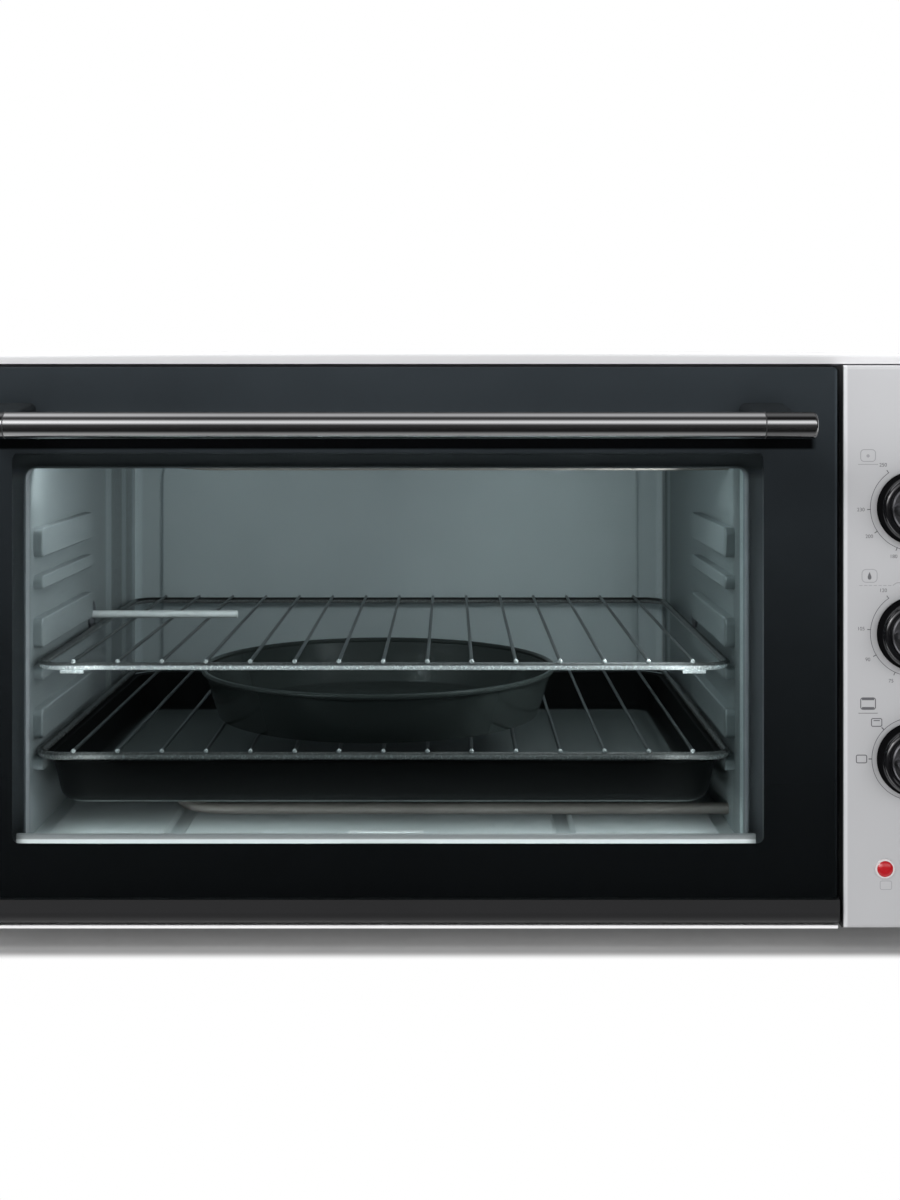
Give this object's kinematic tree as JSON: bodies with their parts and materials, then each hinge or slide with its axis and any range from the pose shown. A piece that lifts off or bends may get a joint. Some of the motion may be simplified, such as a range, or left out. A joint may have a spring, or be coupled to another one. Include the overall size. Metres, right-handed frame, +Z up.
{
  "type": "toaster oven",
  "caption": "Countertop toaster oven with a drop-down glass door, tubular handle, control column with rotary knobs, heating rods, wire racks, pan and tray",
  "frame": {"origin": "middle of the footprint, on the surface that the feet stand on", "axes": "+X right as seen from the front, +Y from the front to the back, +Z up"},
  "size_m": [0.578, 0.437, 0.3279],
  "materials": {
    "black_enamel_print": "black ceramic print fired on the back of the glass",
    "black_plastic": "moulded black plastic",
    "case_paint": "satin light grey paint",
    "cavity_steel": "grey heat-treated sheet",
    "clear_glass": "clear tempered glass",
    "door_frame_paint": "dark grey heat-resistant paint",
    "floor_steel": "aluminised sheet, satin",
    "foot_rubber": "black rubber",
    "frame_paint": "dark grey heat-resistant paint",
    "galvanised": "bare galvanised sheet",
    "handle_steel": "dark polished steel",
    "heater_ceramic": "unglazed ceramic",
    "heater_sheath": "oxidised steel sheath",
    "knob_black": "glossy black moulding",
    "knob_metal": "dark metallised cap",
    "pan_enamel": "black enamel on steel",
    "panel_silver": "silver paint with a fine metallic grain",
    "polished_trim": "polished strip",
    "rack_chrome": "bright chrome-plated wire",
    "rail_paint": "extruded section, dark grey satin finish",
    "red_lens": "clear red moulded lens with a white rim",
    "screw_steel": "zinc-plated steel",
    "terminal_ceramic": "glossy ceramic block",
    "tinted_glass": "tempered, lightly tinted, polished edges",
    "unit_plastic": "moulded switch housing"
  },
  "bodies": {
    "root": {"back_panel": "galvanised", "base_plate": "galvanised", "bottom_heater": "heater_sheath", "bulb_ferrules": "frame_paint", "case_screws": "screw_steel", "cavity_back": "cavity_steel", "cavity_ceiling": "cavity_steel", "cavity_floor": "floor_steel", "cavity_left_wall": "cavity_steel", "cavity_right_wall": "cavity_steel", "control_nuts": "screw_steel", "control_panel": "panel_silver", "cord_gland": "black_plastic", "foot_back_left": "foot_rubber", "foot_back_right": "foot_rubber", "foot_front_left": "foot_rubber", "foot_front_right": "foot_rubber", "front_frame": "frame_paint", "function_switch_body": "unit_plastic", "heat_lamp": "red_lens", "heat_shield": "galvanised", "heater_ends": "heater_ceramic", "hinge_bracket_left": "galvanised", "hinge_bracket_right": "galvanised", "outer_cover": "case_paint", "power_lamp": "red_lens", "terminal_block": "terminal_ceramic", "thermostat_body": "unit_plastic", "thermostat_bulb": "screw_steel", "timer_body": "unit_plastic", "top_heater": "heater_sheath", "wall_spacers": "black_plastic"},
    "door": {"door_bottom_rail": "rail_paint", "door_glass_border": "black_enamel_print", "door_inner_frame": "door_frame_paint", "door_inner_glass": "clear_glass", "door_outer_glass": "tinted_glass", "handle_bracket_left": "handle_steel", "handle_bracket_right": "handle_steel", "handle_screws": "screw_steel", "handle_tube": "handle_steel", "hinge_pin_left": "screw_steel", "hinge_pin_right": "screw_steel", "inner_glass_retainer": "polished_trim"},
    "temperature_control": {"temperature_knob": "knob_black", "temperature_knob_cap": "knob_metal", "temperature_shaft": "screw_steel"},
    "timer_control": {"timer_knob": "knob_black", "timer_knob_cap": "knob_metal", "timer_shaft": "screw_steel"},
    "function_control": {"function_knob": "knob_black", "function_knob_cap": "knob_metal", "function_shaft": "screw_steel"},
    "upper_rack": {"upper_rack": "rack_chrome", "upper_rack_wires": "rack_chrome"},
    "lower_rack": {"lower_rack": "rack_chrome", "lower_rack_wires": "rack_chrome", "round_pan": "pan_enamel"},
    "baking_tray": {"baking_tray": "pan_enamel"}
  },
  "joints": [
    {"name": "door_hinge", "type": "hinge", "parent": "root", "child": "door", "pos_m": [-0.0392, -0.169, 0.0239], "axis": [1, 0, 0], "range_deg": [0, 84], "stiffness_Nm_per_rad": 1, "springref_deg": -34.38},
    {"name": "temperature_turn", "type": "hinge", "parent": "root", "child": "temperature_control", "pos_m": [0.24555, -0.1745, 0.2426], "axis": [0, 1, 0], "range_deg": [0, 270]},
    {"name": "timer_turn", "type": "hinge", "parent": "root", "child": "timer_control", "pos_m": [0.24555, -0.1745, 0.1746], "axis": [0, 1, 0], "range_deg": [0, 320]},
    {"name": "function_turn", "type": "hinge", "parent": "root", "child": "function_control", "pos_m": [0.24555, -0.1745, 0.1066], "axis": [0, 1, 0], "range_deg": [0, 240]},
    {"name": "upper_rack_slide", "type": "slide", "parent": "root", "child": "upper_rack", "axis": [0, -1, 0], "range_m": [0, 0.19]},
    {"name": "lower_rack_slide", "type": "slide", "parent": "root", "child": "lower_rack", "axis": [0, -1, 0], "range_m": [0, 0.115]},
    {"name": "baking_tray_slide", "type": "slide", "parent": "root", "child": "baking_tray", "axis": [0, -1, 0], "range_m": [0, 0.07]}
  ],
  "couplings": [
    {"joint": "upper_rack_slide", "follows": "door_hinge", "m_per_rad": 0.12959},
    {"joint": "lower_rack_slide", "follows": "door_hinge", "m_per_rad": 0.07844},
    {"joint": "baking_tray_slide", "follows": "door_hinge", "m_per_rad": 0.04774}
  ]
}
